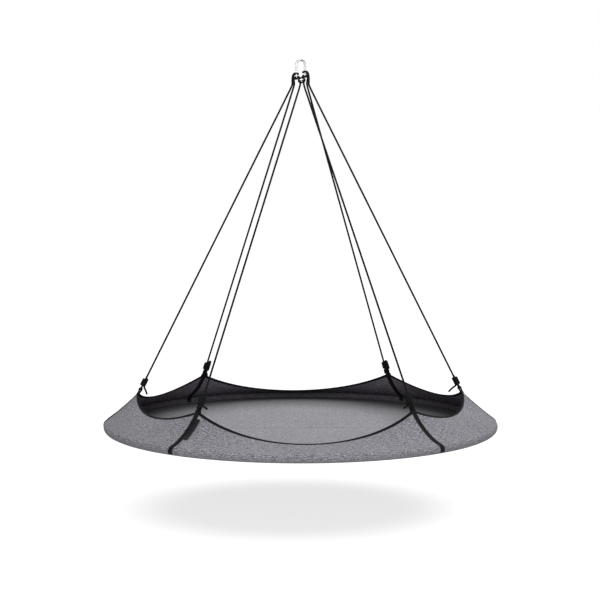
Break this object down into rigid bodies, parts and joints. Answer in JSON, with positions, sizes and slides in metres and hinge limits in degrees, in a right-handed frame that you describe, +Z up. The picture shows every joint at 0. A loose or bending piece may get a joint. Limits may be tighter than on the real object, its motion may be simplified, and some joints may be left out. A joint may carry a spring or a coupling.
{
  "type": "hanging swing bed",
  "caption": "Round hanging swing bed: a tube ring carries a fabric floor and low scooped side walls, and rope legs knotted to webbing straps meet at a snap hook.",
  "frame": {"origin": "the snap hook's bearing point: the lowest point of the inner face of its upper bow's top, where the user's hook carries it", "axes": "+Z up; +X to the bed's right, along its long peak-to-peak line; the wide gap at -Y is the front"},
  "size_m": [1.8342, 1.8298, 1.7095],
  "materials": {
    "hook_steel": "zinc plated, bright",
    "spring_steel": "bright",
    "tube_steel": "powder coated",
    "rope": "braided polyester",
    "webbing": "flat woven",
    "binding_tape": "flat woven",
    "wall_cloth": "heather grey weave",
    "floor_cloth": "grey weave"
  },
  "bodies": {
    "hook": {"hook_body": "hook_steel", "gate_pin": "hook_steel", "hitch_left": "rope", "hitch_middle": "rope", "hitch_right": "rope"},
    "gate": {"gate": "hook_steel", "gate_spring": "spring_steel"},
    "bed": {"snap_button_1": "spring_steel", "snap_button_2": "spring_steel", "snap_button_3": "spring_steel", "snap_button_4": "spring_steel", "snap_button_5": "spring_steel", "snap_button_6": "spring_steel", "rope_right": "rope", "rope_back_right": "rope", "rope_back_left": "rope", "rope_left": "rope", "rope_front_left": "rope", "rope_front_right": "rope", "strap_right": "webbing", "strap_back_right": "webbing", "strap_back_left": "webbing", "strap_left": "webbing", "strap_front_left": "webbing", "strap_front_right": "webbing", "label_tab": "webbing", "wall_right_back": "wall_cloth", "wall_back": "wall_cloth", "wall_left_back": "wall_cloth", "wall_left_front": "wall_cloth", "wall_front": "wall_cloth", "wall_right_front": "wall_cloth", "hem_sleeve": "wall_cloth", "binding_right_back": "binding_tape", "binding_back": "binding_tape", "binding_left_back": "binding_tape", "binding_left_front": "binding_tape", "binding_front": "binding_tape", "binding_right_front": "binding_tape", "floor_panel": "floor_cloth", "ring_tube_1": "tube_steel", "ring_tube_2": "tube_steel", "ring_tube_3": "tube_steel", "ring_tube_4": "tube_steel", "ring_tube_5": "tube_steel", "ring_tube_6": "tube_steel"}
  },
  "joints": [
    {"name": "gate_hinge", "type": "hinge", "parent": "hook", "child": "gate", "pos_m": [-0.02, 0, -0.045], "axis": [0, 1, 0], "range_deg": [0, 22], "stiffness_Nm_per_rad": 0.2, "springref_deg": -20.05},
    {"name": "bed_swing", "type": "hinge", "parent": "hook", "child": "bed", "pos_m": [0, 0, -0.1103], "axis": [1, 0, 0], "range_deg": [-25, 25]}
  ]
}
